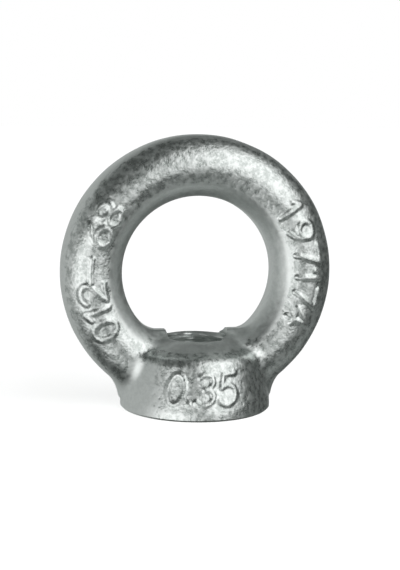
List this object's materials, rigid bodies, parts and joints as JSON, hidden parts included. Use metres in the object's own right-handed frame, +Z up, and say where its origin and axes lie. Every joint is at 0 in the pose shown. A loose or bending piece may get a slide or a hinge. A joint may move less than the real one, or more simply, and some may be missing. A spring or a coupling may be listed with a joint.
{
  "type": "lifting eye nut",
  "caption": "Forged lifting eye nut: a round ring rising from a tapered collar with a vertical threaded bore that opens into the eye.",
  "frame": {"origin": "centre of the seating face under the collar, on the axis of the thread", "axes": "+Z up along the thread's axis, from the seating face to the top of the ring; the ring lies in the XZ plane and +Y runs through its eye"},
  "size_m": [0.09, 0.05, 0.09],
  "materials": {
    "zinc_plated_steel": "bright zinc plating over a grained drop-forged skin"
  },
  "bodies": {
    "root": {"eye_nut": "zinc_plated_steel"}
  },
  "joints": []
}
